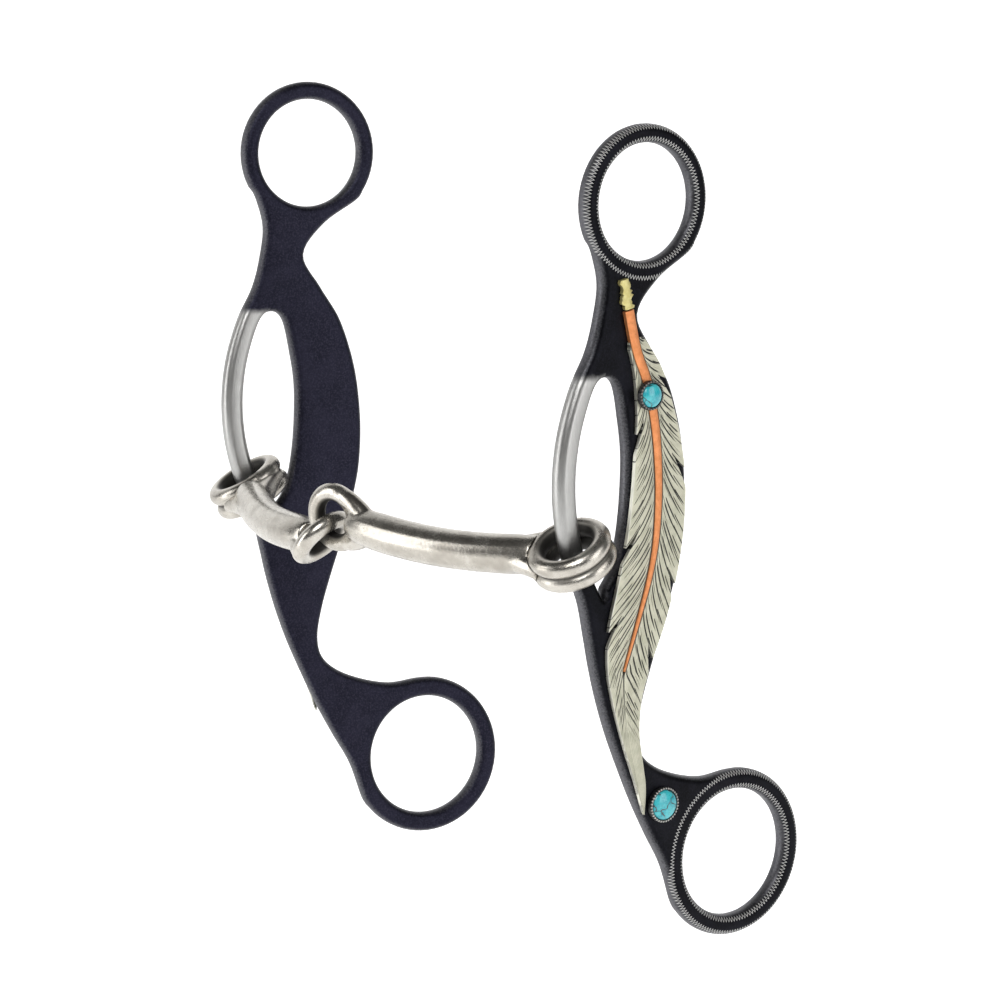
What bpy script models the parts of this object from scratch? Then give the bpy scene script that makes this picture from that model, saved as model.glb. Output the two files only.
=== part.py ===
"""Loose-cheek western bit: two slotted cheek shanks and a jointed two-piece mouthpiece.

The near shank lies in the plane X = 0 with the centre of its headstall ring at the origin.
+Z is up, +Y is back towards the rein rings, and the far shank stands on the -X side.
"""
import math

import bmesh
import bpy
from mathutils import Matrix, Quaternion, Vector

MM = 0.001

# Cheek shank
RING_RISE = 143.8 * MM          # headstall ring centre above rein ring centre
RING_SWEEP = 25.4 * MM          # rein ring centre behind headstall ring centre
PLATE = 4.2 * MM                # thickness of the forged plate
HEAD_RING_BORE = 12.4 * MM      # radius of the headstall ring's hole
HEAD_RING_WALL = 4.0 * MM
REIN_RING_BORE = 14.0 * MM
REIN_RING_WALL = 4.5 * MM
EDGE_ROUND = 1.7 * MM           # rounding of the plate's edges
BAR = 4.9 * MM                  # diameter of the round slide bar

# Edges of the shank, as (Y in mm from the headstall ring, share of the rise below it)
FRONT_NECK = [(-11.5, 0.115), (-12.5, 0.163), (-14.6, 0.211)]
BAR_POINTS = [(-15.9, 0.262), (-20.7, 0.409), (-13.9, 0.578)]
FRONT_FOOT = [(-14.9, 0.634), (-13.4, 0.684), (-11.4, 0.736), (-8.8, 0.789), (-5.6, 0.842),
              (-2.0, 0.897), (2.1, 0.951), (6.3, 1.003)]
REAR_EDGE = [(3.4, 0.115), (-2.0, 0.163), (1.9, 0.215), (6.3, 0.265), (8.9, 0.316),
             (10.4, 0.364), (11.1, 0.416), (11.1, 0.464), (10.4, 0.513), (9.0, 0.555),
             (7.0, 0.601), (4.8, 0.645), (2.4, 0.690), (0.0, 0.740), (-1.3, 0.786),
             (-0.3, 0.820), (3.6, 0.845), (9.9, 0.864), (17.0, 0.875)]
SLOT_REAR = [(-10.0, 0.252), (-7.4, 0.268), (-5.9, 0.318), (-5.0, 0.367), (-5.1, 0.416),
             (-5.7, 0.464), (-6.9, 0.510), (-8.6, 0.544), (-10.6, 0.564)]

# Overlay and stones on the outer face
SHEET = 0.9 * MM                # overlay sheet
QUILL_SHEET = 1.1 * MM
SEAT_GAP = 0.08 * MM            # clearance under what is fixed on the plate
SIDE_GAP = 0.3 * MM             # clearance round the quill
QUILL_LINE = [(-7.0, 0.108), (-5.6, 0.160), (-3.7, 0.214), (-1.5, 0.250), (0.1, 0.284),
              (1.6, 0.340), (2.3, 0.400), (2.3, 0.450), (1.6, 0.505), (0.0, 0.555),
              (-2.3, 0.603), (-4.7, 0.650), (-6.9, 0.692)]
QUILL_TOP_WIDTH = 2.3 * MM
QUILL_END_WIDTH = 0.5 * MM
VANE_FRONT = [(-5.4, 0.219), (-4.4, 0.240), (-3.8, 0.270), (-3.4, 0.318), (-3.9, 0.372),
              (-4.6, 0.430), (-6.2, 0.500), (-8.8, 0.570), (-10.8, 0.625), (-11.1, 0.680),
              (-9.6, 0.735), (-6.7, 0.800), (-3.4, 0.862)]
VANE_REAR = [(-0.9, 0.912), (-0.6, 0.870), (-1.6, 0.825), (-2.4, 0.785), (-1.8, 0.735),
             (0.4, 0.690), (4.6, 0.622), (7.4, 0.560), (9.0, 0.505), (9.7, 0.455),
             (9.6, 0.405), (8.3, 0.350), (6.2, 0.300), (3.0, 0.242), (-1.7, 0.203)]
NOTCH_DEPTH = 2.6 * MM
NOTCH_WIDTH = 1.5 * MM
UPPER_STONE = (-0.7, 0.281)
UPPER_BEZEL = 3.1 * MM          # outer radius of the upper bezel cup
LOWER_STONE = (4.4, 0.902)
LOWER_BEZEL = 3.8 * MM
BEZEL_WALL = 0.45 * MM
BEZEL_RISE = 1.3 * MM
STONE_RISE = 2.1 * MM           # top of a stone above the bezel's floor
STONE_GAP = 0.1 * MM

# Mouthpiece
HALF_MOUTH = 66.0 * MM          # from a slide bar to the centre joint
CANNON = 8.5 * MM               # diameter of a mouthpiece half at its middle
CANNON_FLARE = 0.15             # how much thicker it is towards both ends
CANNON_BEND = 4.0 * MM          # how far its middle stands in front of the straight line
EYE_WIRE = 3.9 * MM
EYE_MEAN = 5.8 * MM             # centreline radius of a centre eye
EYE_GAP = 0.4 * MM              # running clearance between the two eyes
LOOP_WIRE = 3.9 * MM
LOOP_MEAN = 7.25 * MM           # centreline radius of the loops that run on the bars
LOOP_PITCH = 3.75 * MM          # one turn of a loop above the other
SWIVEL_GAP = 0.3 * MM           # between a loop and the end of its cannon
LOOP_TILT = 30.0                # forward tilt of the loops on their bars, in degrees

# Resting places
NEAR_STATION = 0.508            # loop on the near bar, as a share of the rise
FAR_STATION = 0.533
NEAR_TO_JOINT = Vector((-0.9636, -0.266, -0.024)).normalized()
FAR_TO_JOINT = Vector((0.9474, -0.318, 0.032)).normalized()
LINK = Vector((-0.70, -0.05, -0.71)).normalized()       # from the near eye to the far eye
NEAR_EYE_FACE = Vector((-0.20, 0.97, 0.13)).normalized()
FAR_EYE_FACE = Vector((0.70, 0.24, -0.67)).normalized()
FAR_TOE = -11.8                 # far shank turned about Z, in degrees
FAR_LEAN = -3.3                 # far shank leant about Y, in degrees


def head_point(point):
    """World (Y, Z) of an edge point given as (mm, share of the rise)."""
    return Vector((point[0] * MM, -point[1] * RING_RISE))


def clear_scene():
    for old in list(bpy.data.objects):
        bpy.data.objects.remove(old, do_unlink=True)


def new_collection(name, hidden=False):
    group = bpy.data.collections.new(name)
    bpy.context.scene.collection.children.link(group)
    group.hide_render = hidden
    return group


def new_material(name, colour, roughness, metallic):
    material = bpy.data.materials.new(name)
    material.use_nodes = True
    shader = material.node_tree.nodes["Principled BSDF"]
    shader.inputs["Base Color"].default_value = (*colour, 1.0)
    shader.inputs["Roughness"].default_value = roughness
    shader.inputs["Metallic"].default_value = metallic
    return material


def new_empty(name, location, rotation, group, parent=None):
    empty = bpy.data.objects.new(name, None)
    empty.empty_display_size = 0.01
    empty.rotation_mode = "QUATERNION"
    empty.location = location
    empty.rotation_quaternion = rotation
    empty.parent = parent
    group.objects.link(empty)
    return empty


def circle_through(first, second, third):
    """Centre and radius of the circle through three 2D points."""
    along_a = second - first
    along_b = third - first
    half_a = along_a.length_squared / 2
    half_b = along_b.length_squared / 2
    cross = along_a.x * along_b.y - along_a.y * along_b.x
    offset = Vector((half_a * along_b.y - half_b * along_a.y,
                     half_b * along_a.x - half_a * along_b.x)) / cross
    return first + offset, offset.length


BAR_CENTRE, BAR_RADIUS = circle_through(*[head_point(p) for p in BAR_POINTS])
REIN_CENTRE = Vector((RING_SWEEP, -RING_RISE))


def bar_edge(share, radius):
    """Point of a circle about the bar's centre at one height, on its front side."""
    height = -share * RING_RISE - BAR_CENTRE.y
    return Vector((BAR_CENTRE.x - math.sqrt(radius ** 2 - height ** 2), -share * RING_RISE))


def ring_arc(centre, radius, start, end, count):
    """Points of an arc, in degrees from start to end."""
    points = []
    for i in range(count + 1):
        angle = math.radians(start + (end - start) * i / count)
        points.append(centre + radius * Vector((math.cos(angle), math.sin(angle))))
    return points


def mesh_from_curve(name, curve, group, material):
    """Turn a curve's tube into a closed mesh object."""
    source = bpy.data.objects.new(name + "_outline", curve)
    bpy.context.scene.collection.objects.link(source)
    bpy.context.view_layer.update()
    evaluated = source.evaluated_get(bpy.context.evaluated_depsgraph_get())
    mesh = bpy.data.meshes.new_from_object(evaluated)
    mesh.name = name
    shape = bmesh.new()
    shape.from_mesh(mesh)
    bmesh.ops.remove_doubles(shape, verts=shape.verts, dist=0.00001)
    bmesh.ops.recalc_face_normals(shape, faces=shape.faces)
    shape.to_mesh(mesh)
    shape.free()
    made = bpy.data.objects.new(name, mesh)
    made.matrix_world = source.matrix_world
    mesh.materials.clear()
    mesh.materials.append(material)
    group.objects.link(made)
    bpy.data.objects.remove(source, do_unlink=True)
    return made


def stand_on_cheek(made, side, height=0.0):
    """Turn a flat XY shape into the cheek's YZ plane, with its outer face towards side."""
    turn = Matrix(((0, 0, side, side * height), (1, 0, 0, 0), (0, 1, 0, 0), (0, 0, 0, 1)))
    made.data.transform(turn)
    if side < 0:
        made.data.flip_normals()


def add_boolean(made, other, operation):
    cut = made.modifiers.new(operation.lower(), "BOOLEAN")
    cut.operation = operation
    cut.solver = "EXACT"
    cut.object = other


def shade(made, angle=40.0):
    made.data.shade_smooth()
    made.data.set_sharp_from_angle(angle=math.radians(angle))


def smooth_line(points, steps):
    """Points of a smooth curve through 2D points (Catmull-Rom)."""
    line = []
    for i in range(len(points) - 1):
        before = points[max(i - 1, 0)]
        start, end = points[i], points[i + 1]
        after = points[min(i + 2, len(points) - 1)]
        for k in range(steps):
            t = k / steps
            line.append(0.5 * (2 * start + (end - before) * t
                               + (2 * before - 5 * start + 4 * end - after) * t ** 2
                               + (3 * start - before - 3 * end + after) * t ** 3))
    line.append(points[-1])
    return line


def bar_arc(radius, steps):
    """Points along the bar from its top end to its foot, on a circle about the bar's centre."""
    return [bar_edge(BAR_POINTS[0][1] + (BAR_POINTS[2][1] - BAR_POINTS[0][1]) * i / steps, radius)
            for i in range(steps + 1)]


def cheek_outline():
    """Outer edge of the plate, from the headstall ring down the front and up the back."""
    head_radius = HEAD_RING_BORE + HEAD_RING_WALL
    rein_radius = REIN_RING_BORE + REIN_RING_WALL
    front = [head_point(p) for p in FRONT_NECK]
    front += bar_arc(BAR_RADIUS + BAR / 2, 5)
    front += [head_point(p) for p in FRONT_FOOT]
    head = ring_arc(Vector((0, 0)), head_radius, -45, 217, 24)
    rein = ring_arc(REIN_CENTRE, rein_radius, -151, 95, 24)
    rear = [head_point(p) for p in reversed(REAR_EDGE)]
    down = smooth_line([head[-2], head[-1]] + front + rein[:2], 3)
    up = smooth_line(rein[-2:] + rear + head[:2], 3)
    return head[1:-1] + down[3:-3] + rein[1:-1] + up[3:-3]


def slot_outline():
    """Edge of the slot: the bar's inner side and the body's front edge."""
    front = bar_arc(BAR_RADIUS - BAR / 2, 6)
    rear = [head_point(p) for p in reversed(SLOT_REAR)]
    knots = front + rear
    count = len(knots)
    line = []
    for i in range(count):
        ends = [knots[(i + k) % count] for k in (-1, 0, 1, 2)]
        line += smooth_line(ends, 3)[3:6]
    return line


def outline_area(points):
    return sum(points[i - 1].x * p.y - p.x * points[i - 1].y for i, p in enumerate(points)) / 2


def rounded_plate(name, outline, holes, thickness, rounding, segments, group, material):
    """Flat plate with rounded edges: a filled outline with holes, extruded and edge-rounded."""
    curve = bpy.data.curves.new(name, "CURVE")
    curve.dimensions = "2D"
    curve.fill_mode = "BOTH"
    curve.extrude = thickness / 2 - rounding
    curve.bevel_depth = rounding
    curve.bevel_resolution = segments
    curve.offset = -rounding
    for index, points in enumerate([outline] + holes):
        if (outline_area(points) > 0) != (index == 0):
            points = list(reversed(points))
        spline = curve.splines.new("POLY")
        spline.points.add(len(points) - 1)
        spline.use_cyclic_u = True
        for knot, point in zip(spline.points, points):
            knot.co = (point.x, point.y, 0.0, 1.0)
    return mesh_from_curve(name, curve, group, material)


def make_shank(prefix, side, group, frame, offset, steel):
    """Forged plate with its two rings and the slot that leaves the round bar in front."""
    holes = [ring_arc(Vector((0, 0)), HEAD_RING_BORE, 0, 348, 29),
             ring_arc(REIN_CENTRE, REIN_RING_BORE, 0, 348, 29), slot_outline()]
    shank = rounded_plate(prefix + "_shank", cheek_outline(), holes, PLATE, EDGE_ROUND, 2, group,
                          steel)
    stand_on_cheek(shank, side)
    shade(shank)
    shank.parent = frame
    shank.location = offset
    return shank


def quill_sides(extra, first=0.0, last=1.0):
    """Front and rear edge of the quill, widened by extra, between two shares of its length."""
    line = smooth_line([head_point(p) for p in QUILL_LINE], 3)
    count = len(line) - 1
    front, rear = [], []
    for i in range(round(first * count), round(last * count) + 1):
        along = (line[min(i + 1, count)] - line[max(i - 1, 0)]).normalized()
        half = (QUILL_TOP_WIDTH + (QUILL_END_WIDTH - QUILL_TOP_WIDTH) * (i / count) ** 2) / 2
        across = Vector((along.y, -along.x)) * (half + extra)
        front.append(line[i] + across)
        rear.append(line[i] - across)
    return front, rear


def vane_edge(points, notches, slope):
    """Smooth edge of a vane with narrow pointed notches at some of its points."""
    line = smooth_line([head_point(p) for p in points], 3)
    inward = Vector(slope) * NOTCH_DEPTH
    for index in sorted(notches, reverse=True):
        i = 3 * index
        mouth = (line[i + 1] - line[i - 1]).normalized() * NOTCH_WIDTH / 2
        line[i:i + 1] = [line[i] - mouth, line[i] + inward, line[i] + mouth]
    return line


def feather_outline():
    """Outline of the overlay: two vanes round the open quill slot, joined below its end."""
    front = vane_edge(VANE_FRONT, (4, 6, 8), (0.80, 0.60))
    rear = vane_edge(VANE_REAR, (3, 6, 9, 11), (-0.80, -0.60))
    slot_front, slot_rear = quill_sides(SIDE_GAP, 0.18, 1.0)
    return front + rear + slot_rear + list(reversed(slot_front))


def make_flat_trim(name, points, thickness, side, group, frame, offset, material):
    """Sheet piece lying on the plate's outer face."""
    made = rounded_plate(name, points, [], thickness, 0.15 * MM, 0, group, material)
    stand_on_cheek(made, side, PLATE / 2 + SEAT_GAP + thickness / 2)
    shade(made)
    made.parent = frame
    made.location = offset
    return made


def turned(name, profile, side, centre, height, group, frame, offset, material, steps=28):
    """Turned piece on the cheek's outer face: a profile of (radius, height) points."""
    mesh = bpy.data.meshes.new(name)
    shape = bmesh.new()
    verts = [shape.verts.new((radius, 0.0, rise)) for radius, rise in profile]
    for first, second in zip(verts, verts[1:]):
        shape.edges.new((first, second))
    shape.to_mesh(mesh)
    shape.free()
    mesh.materials.append(material)
    made = bpy.data.objects.new(name, mesh)
    screw = made.modifiers.new("turned", "SCREW")
    screw.axis = "Z"
    screw.angle = math.tau
    screw.steps = steps
    screw.render_steps = steps
    screw.use_merge_vertices = True
    screw.merge_threshold = 0.00001
    screw.use_smooth_shade = True
    group.objects.link(made)
    made.parent = frame
    made.rotation_mode = "QUATERNION"
    made.rotation_quaternion = Quaternion((0, 1, 0), side * math.pi / 2)
    made.location = offset + Vector((side * height, centre.x, centre.y))
    return made


def make_setting(prefix, side, place, radius, floor, group, frame, offset, silver, stone):
    """Bezel cup with a domed stone in it."""
    centre = head_point(place)
    floor_rise = 0.35 * MM
    inner = radius - BEZEL_WALL
    cup = [(0.0, floor_rise), (inner, floor_rise), (inner, BEZEL_RISE),
           (radius - BEZEL_WALL / 2, BEZEL_RISE + 0.12 * MM), (radius, BEZEL_RISE), (radius, 0.0),
           (0.0, 0.0)]
    turned(prefix + "_bezel", cup, side, centre, floor, group, frame, offset, silver)
    fit = inner - STONE_GAP
    base = floor_rise + STONE_GAP
    dome = [(0.0, STONE_RISE)]
    for i in range(1, 9):
        angle = math.radians(90 - 90 * i / 8)
        dome.append((fit * math.cos(angle), base + 0.5 * MM
                     + (STONE_RISE - base - 0.5 * MM) * math.sin(angle)))
    dome += [(fit, base), (0.0, base)]
    turned(prefix + "_stone", dome, side, centre, floor, group, frame, offset, stone)


def make_decoration(prefix, side, group, frame, offset, finishes):
    """Feather overlay, quill, tip and the two stone settings of one cheek."""
    make_flat_trim(prefix + "_feather", feather_outline(), SHEET, side, group, frame, offset,
                   finishes["nickel_silver"])
    front, rear = quill_sides(0.0, 0.12, 0.985)
    make_flat_trim(prefix + "_quill", front + list(reversed(rear)), QUILL_SHEET, side, group,
                   frame, offset, finishes["copper"])
    front, rear = quill_sides(0.0, 0.0, 0.10)
    top = (front[0] + rear[0]) / 2 + Vector((0.2 * MM, 0.9 * MM))
    make_flat_trim(prefix + "_quill_tip", front + list(reversed(rear)) + [top], QUILL_SHEET,
                   side, group, frame, offset, finishes["brass"])
    face = PLATE / 2
    make_setting(prefix + "_upper", side, UPPER_STONE, UPPER_BEZEL,
                 face + 2 * SEAT_GAP + QUILL_SHEET, group, frame, offset, finishes["bezel"],
                 finishes["stone"])
    make_setting(prefix + "_lower", side, LOWER_STONE, LOWER_BEZEL, face + SEAT_GAP, group,
                 frame, offset, finishes["bezel"], finishes["stone"])


def loop_axis(along, tilt):
    """Axis of a bar loop: upright to its cannon, tilted forward about it."""
    upright = (Vector((0, 0, 1)) - along * along.z).normalized()
    forward = upright.cross(along)
    if forward.y > 0:
        forward = -forward
    angle = math.radians(tilt)
    return upright * math.cos(angle) + forward * math.sin(angle)


def ring_mesh(name, mean, wire, axis, centre, group, material, segments=40, sides=11):
    """Ring of round wire about an axis."""
    bpy.ops.mesh.primitive_torus_add(major_radius=mean, minor_radius=wire / 2,
                                     major_segments=segments, minor_segments=sides)
    made = bpy.context.object
    made.name = name
    made.data.name = name
    made.rotation_mode = "QUATERNION"
    made.rotation_quaternion = Vector((0, 0, 1)).rotation_difference(axis)
    made.location = centre
    for old in list(made.users_collection):
        old.objects.unlink(made)
    group.objects.link(made)
    made.data.materials.clear()
    if material:
        made.data.materials.append(material)
    return made


def make_bar_loop(name, centre, axis, groups, steel):
    """Two touching turns of wire, joined as one welded loop."""
    step = axis * LOOP_PITCH / 2
    loop = ring_mesh(name, LOOP_MEAN, LOOP_WIRE, axis, centre, groups["parts"], steel)
    loop.data.transform(Matrix.Translation((0, 0, LOOP_PITCH / 2)))
    lower = ring_mesh(name + "_turn", LOOP_MEAN, LOOP_WIRE, axis, centre - step,
                      groups["cutters"], None)
    lower.display_type = "WIRE"
    lower.hide_render = True
    add_boolean(loop, lower, "UNION")
    shade(loop)
    return loop


def make_cutter(made, groups):
    for old in list(made.users_collection):
        old.objects.unlink(made)
    groups["cutters"].objects.link(made)
    made.display_type = "WIRE"
    made.hide_render = True


def make_cannon(name, centre, axis, eye_centre, eye_axis, groups, steel):
    """Curved mouthpiece half, from its bar loop to the eye at the centre joint."""
    along = (eye_centre - centre).normalized()
    length = (eye_centre - centre).length
    forward = along.cross(axis)
    if forward.y > 0:
        forward = -forward
    start = LOOP_MEAN
    end = length - EYE_MEAN
    curve = bpy.data.curves.new(name, "CURVE")
    curve.dimensions = "3D"
    curve.bevel_depth = CANNON / 2
    curve.bevel_resolution = 4
    curve.use_fill_caps = True
    steps = 18
    spline = curve.splines.new("POLY")
    spline.points.add(steps)
    for i, point in enumerate(spline.points):
        t = i / steps
        reach = start + (end - start) * t
        bow = CANNON_BEND * math.sin(math.pi * reach / length)
        point.co = (*(along * reach + forward * bow), 1.0)
        point.radius = 1.0 + CANNON_FLARE * (2 * t - 1) ** 4 - 0.5 * t ** 16
    cannon = mesh_from_curve(name, curve, groups["parts"], steel)
    cannon.location = centre
    eye = ring_mesh(name + "_eye", EYE_MEAN, EYE_WIRE, eye_axis, eye_centre, groups["cutters"],
                    None, 36, 11)
    bpy.ops.mesh.primitive_cylinder_add(radius=LOOP_MEAN + LOOP_WIRE / 2 + SWIVEL_GAP,
                                        depth=4 * CANNON, vertices=64)
    relief = bpy.context.object
    relief.name = name + "_relief"
    relief.rotation_mode = "QUATERNION"
    relief.rotation_quaternion = Vector((0, 0, 1)).rotation_difference(axis)
    relief.location = centre
    make_cutter(eye, groups)
    make_cutter(relief, groups)
    add_boolean(cannon, relief, "DIFFERENCE")
    add_boolean(cannon, eye, "UNION")
    shade(cannon)
    return cannon


def keep_place(child, parent):
    """Parent an object without moving it."""
    bpy.context.view_layer.update()
    child.parent = parent
    child.matrix_parent_inverse = parent.matrix_world.inverted()


def bar_place(share):
    """Point of the bar's centreline at one height."""
    point = bar_edge(share, BAR_RADIUS)
    return Vector((0.0, point.x, point.y))


def far_frame():
    """Turn and place of the far cheek, set so that its loop meets its cannon's end."""
    turn = (Quaternion((0, 0, 1), math.radians(FAR_TOE))
            @ Quaternion((0, 1, 0), math.radians(FAR_LEAN)))
    near_loop = bar_place(NEAR_STATION)
    joint = near_loop + NEAR_TO_JOINT * HALF_MOUTH
    far_loop = joint - FAR_TO_JOINT * HALF_MOUTH
    origin = far_loop - turn @ bar_place(FAR_STATION)
    return turn, origin, near_loop, joint, far_loop


def make_mouthpiece(groups, steel):
    turn, origin, near_loop, joint, far_loop = far_frame()
    near_axis = loop_axis(NEAR_TO_JOINT, LOOP_TILT)
    far_axis = loop_axis(FAR_TO_JOINT, LOOP_TILT)
    reach = EYE_MEAN - EYE_WIRE / 2 - EYE_GAP / 2
    near_eye = joint - LINK * reach
    far_eye = joint + LINK * reach
    make_bar_loop("near_bar_loop", near_loop, near_axis, groups, steel)
    make_bar_loop("far_bar_loop", far_loop, far_axis, groups, steel)
    make_cannon("near_cannon", near_loop, near_axis, near_eye, NEAR_EYE_FACE, groups, steel)
    make_cannon("far_cannon", far_loop, far_axis, far_eye, FAR_EYE_FACE, groups, steel)


def add_joint_frames(parts):
    """Empties on the joint axes, which carry the moving pieces."""
    turn, origin, near_loop, joint, far_loop = far_frame()
    still = Quaternion()
    up = Vector((0, 0, 1))
    near_axis = loop_axis(NEAR_TO_JOINT, LOOP_TILT)
    far_axis = loop_axis(FAR_TO_JOINT, LOOP_TILT)
    strand = NEAR_EYE_FACE.cross(LINK)
    pin = joint + LINK * (EYE_WIRE / 2 + EYE_GAP / 2)
    slide = new_empty("near_slide_axis", (0, BAR_CENTRE.x, BAR_CENTRE.y), still, parts)
    swivel = new_empty("near_swivel_axis", near_loop, up.rotation_difference(near_axis), parts)
    fold = new_empty("centre_fold_axis", pin, up.rotation_difference(strand), parts)
    far_swivel = new_empty("far_swivel_axis", far_loop, up.rotation_difference(far_axis), parts)
    objects = bpy.data.objects
    keep_place(swivel, slide)
    keep_place(fold, swivel)
    keep_place(far_swivel, fold)
    keep_place(objects["far_cheek_frame"], far_swivel)
    keep_place(objects["near_bar_loop"], slide)
    keep_place(objects["near_cannon"], swivel)
    keep_place(objects["far_cannon"], fold)
    keep_place(objects["far_bar_loop"], far_swivel)


def main():
    clear_scene()
    parts = new_collection("loose_cheek_bit")
    cutters = new_collection("cutters", hidden=True)
    groups = {"parts": parts, "cutters": cutters}
    steel = new_material("blued_steel", (0.045, 0.045, 0.07), 0.42, 0.9)
    bright = new_material("polished_steel", (0.62, 0.60, 0.55), 0.22, 1.0)
    finishes = {
        "nickel_silver": new_material("nickel_silver", (0.52, 0.52, 0.40), 0.35, 0.9),
        "copper": new_material("copper", (0.78, 0.32, 0.14), 0.35, 0.9),
        "brass": new_material("brass", (0.62, 0.55, 0.28), 0.4, 0.9),
        "bezel": new_material("bezel_silver", (0.35, 0.35, 0.33), 0.4, 0.9),
        "stone": new_material("turquoise", (0.05, 0.45, 0.60), 0.3, 0.0),
    }
    turn, origin, *_ = far_frame()
    arc_centre = Vector((0.0, BAR_CENTRE.x, BAR_CENTRE.y))
    near = new_empty("near_cheek_frame", (0, 0, 0), Quaternion(), parts)
    far = new_empty("far_cheek_frame", origin + turn @ arc_centre, turn, parts)
    for prefix, side, frame, offset in (("near", 1, near, Vector((0, 0, 0))),
                                        ("far", -1, far, -arc_centre)):
        make_shank(prefix, side, parts, frame, offset, steel)
        make_decoration(prefix, side, parts, frame, offset, finishes)
    make_mouthpiece(groups, bright)
    add_joint_frames(parts)


main()
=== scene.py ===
"""Loose-cheek western bit: cheeks, overlays, stones and mouthpiece, in a plain studio."""
import math
import random

import bmesh
import bpy
from bpy.props import FloatProperty, FloatVectorProperty, IntProperty, PointerProperty
from mathutils import Matrix, Quaternion, Vector


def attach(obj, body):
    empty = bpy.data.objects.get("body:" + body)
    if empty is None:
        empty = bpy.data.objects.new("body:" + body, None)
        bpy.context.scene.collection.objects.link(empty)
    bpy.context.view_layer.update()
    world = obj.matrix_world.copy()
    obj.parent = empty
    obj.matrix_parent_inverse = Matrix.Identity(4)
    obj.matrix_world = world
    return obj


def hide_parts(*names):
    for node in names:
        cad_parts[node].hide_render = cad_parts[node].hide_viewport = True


bl_info = {
    "name": "Loose-Cheek Bit",
    "version": (1, 0, 0),
    "blender": (4, 5, 0),
    "location": "View3D > Sidebar > Bit",
    "description": "Builds the looks of a loose-cheek western bit on its packed frame",
    "category": "Object",
}

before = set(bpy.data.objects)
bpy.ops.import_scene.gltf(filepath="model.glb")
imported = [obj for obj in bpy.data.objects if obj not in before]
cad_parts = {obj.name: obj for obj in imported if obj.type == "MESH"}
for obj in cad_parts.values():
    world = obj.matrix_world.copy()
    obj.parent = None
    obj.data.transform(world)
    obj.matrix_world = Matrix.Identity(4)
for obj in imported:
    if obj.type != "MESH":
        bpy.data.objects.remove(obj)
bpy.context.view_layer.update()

MM = 0.001

# Cheek: the headstall ring's centre is the origin, lengths in mm, heights as shares of the rise
RISE = 143.8
REIN_CENTRE = Vector((25.4, -143.8))
HEAD_BORE, HEAD_WALL = 12.4, 4.0
REIN_BORE, REIN_WALL = 14.0, 4.5
PLATE = 4.2
BAR = 4.9
EDGE_ROUND, EDGE_DEPTH, EDGE_STEPS = 1.65, 1.95, 7
FRONT_NECK = [(-11.5, 0.115), (-12.5, 0.163), (-14.6, 0.211)]
BAR_POINTS = [(-15.9, 0.262), (-20.7, 0.409), (-13.9, 0.578)]
FRONT_FOOT = [(-14.9, 0.634), (-13.4, 0.684), (-11.4, 0.736), (-8.8, 0.789), (-5.6, 0.842),
              (-2.0, 0.897), (2.1, 0.951), (6.3, 1.003)]
REAR_EDGE = [(3.4, 0.115), (-2.0, 0.163), (1.9, 0.215), (6.3, 0.265), (8.9, 0.316),
             (10.4, 0.364), (11.1, 0.416), (11.1, 0.464), (10.4, 0.513), (9.0, 0.555),
             (7.0, 0.601), (4.8, 0.645), (2.4, 0.690), (0.0, 0.740), (-1.3, 0.786),
             (-0.3, 0.820), (3.6, 0.845), (9.9, 0.864), (17.0, 0.875)]
SLOT_REAR = [(-10.0, 0.252), (-7.4, 0.268), (-5.9, 0.318), (-5.0, 0.367), (-5.1, 0.416),
             (-5.7, 0.464), (-6.9, 0.510), (-8.6, 0.544), (-10.6, 0.564)]

# Overlay
QUILL_LINE = [(-7.0, 0.108), (-5.6, 0.160), (-3.7, 0.214), (-1.5, 0.250), (0.1, 0.284),
              (1.6, 0.340), (2.3, 0.400), (2.3, 0.450), (1.6, 0.505), (0.0, 0.555),
              (-2.3, 0.603), (-4.7, 0.650), (-6.9, 0.692)]
VANE_FRONT = [(-5.9, 0.205), (-4.4, 0.240), (-3.8, 0.270), (-3.4, 0.318), (-3.9, 0.372),
              (-4.6, 0.430), (-6.2, 0.500), (-8.8, 0.570), (-10.8, 0.625), (-11.1, 0.680),
              (-9.6, 0.735), (-6.7, 0.800), (-3.4, 0.862), (-1.2, 0.908)]
VANE_REAR = [(-2.5, 0.189), (3.0, 0.242), (6.2, 0.300), (8.3, 0.350), (9.6, 0.405),
             (9.7, 0.455), (9.0, 0.505), (7.4, 0.560), (4.6, 0.622), (0.4, 0.690),
             (-1.8, 0.735), (-2.4, 0.785), (-1.6, 0.825), (-0.6, 0.870), (-0.9, 0.912)]
SHEET = 0.9
QUILL_SHEET = 1.1
FACE = PLATE / 2 + 0.08
UPPER_STONE, UPPER_BEZEL = (-0.7, 0.281), 3.1
LOWER_STONE, LOWER_BEZEL = (4.4, 0.902), 3.8
BEZEL_WALL = 0.45
TOOTH_DEPTH = 0.03              # of the bezel's radius
STONE_GAP, STONE_RISE, DOME = 0.10, 2.10, 1.15
SPINE = [(-6.4, 0.75), (-4.4, 0.82), (-1.0, 0.910)]     # below the quill's end
FRONT_NOTCHES = ((0.150, 0.034, 0.52), (0.360, 0.032, 0.46), (0.535, 0.032, 0.44))
REAR_NOTCHES = ((0.080, 0.030, 0.50), (0.240, 0.032, 0.44), (0.455, 0.032, 0.42),
                (0.615, 0.032, 0.46))   # (place, width, depth) as shares of the vane
VANE_CROWN = 0.06
VANE_ROWS, VANE_COLUMNS = 420, 22
FAR_VANE_PULL = 0.13            # keeps the far sheet's front edge behind its plate's

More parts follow.
